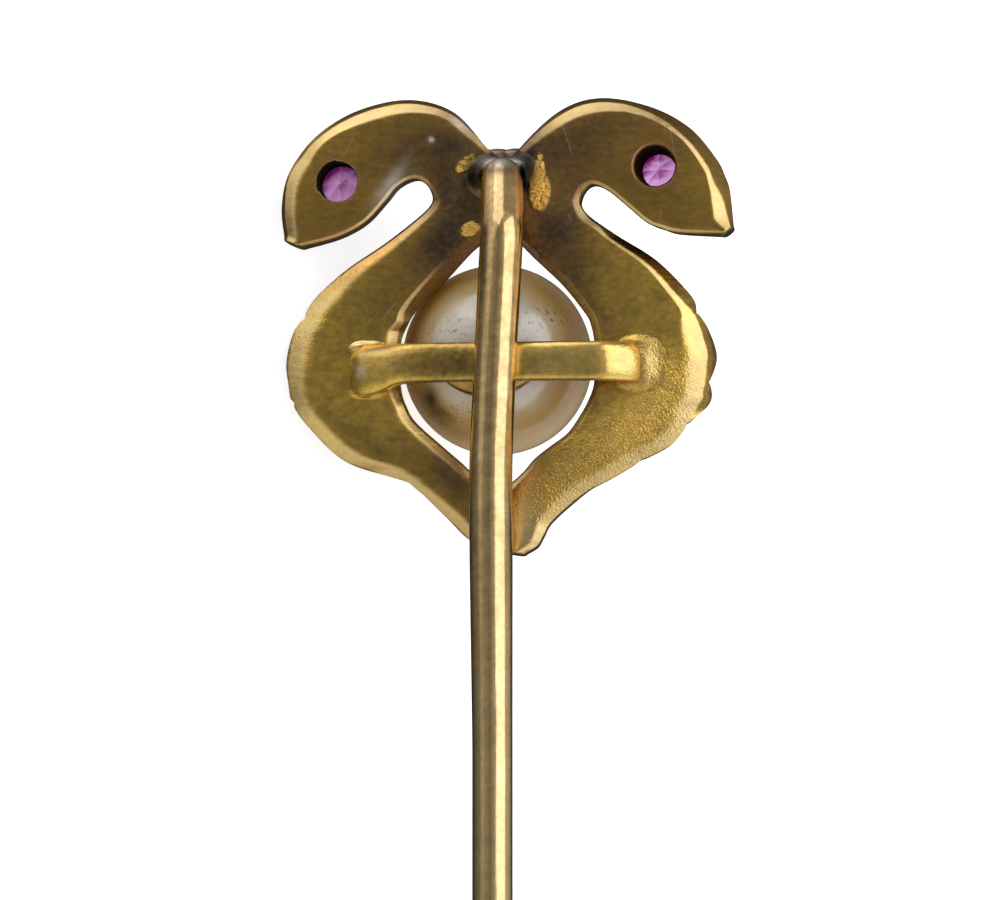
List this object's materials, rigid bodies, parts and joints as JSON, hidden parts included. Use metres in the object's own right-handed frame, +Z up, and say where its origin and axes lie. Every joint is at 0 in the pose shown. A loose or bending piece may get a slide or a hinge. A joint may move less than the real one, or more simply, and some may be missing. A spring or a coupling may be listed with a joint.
{
  "type": "stick pin",
  "caption": "Gold stick pin: back-to-back serpents with faceted stone eyes hold a pearl between them; plain back with strap and solder, on a long pointed wire stem.",
  "frame": {"origin": "middle of the box round the pin, on the surface it lies on", "axes": "+Y along the stem from the point towards the heads, +Z up from the surface, +X towards the right serpent; the back of the heads is turned up by about 53 degrees and leans to -X"},
  "size_m": [0.009, 0.064, 0.0073],
  "materials": {
    "gold": "satin",
    "pearl": "polished",
    "eye_stone": "polished"
  },
  "bodies": {
    "root": {"serpent_pin": "gold", "pearl": "pearl", "left_eye": "eye_stone", "right_eye": "eye_stone"}
  },
  "joints": []
}
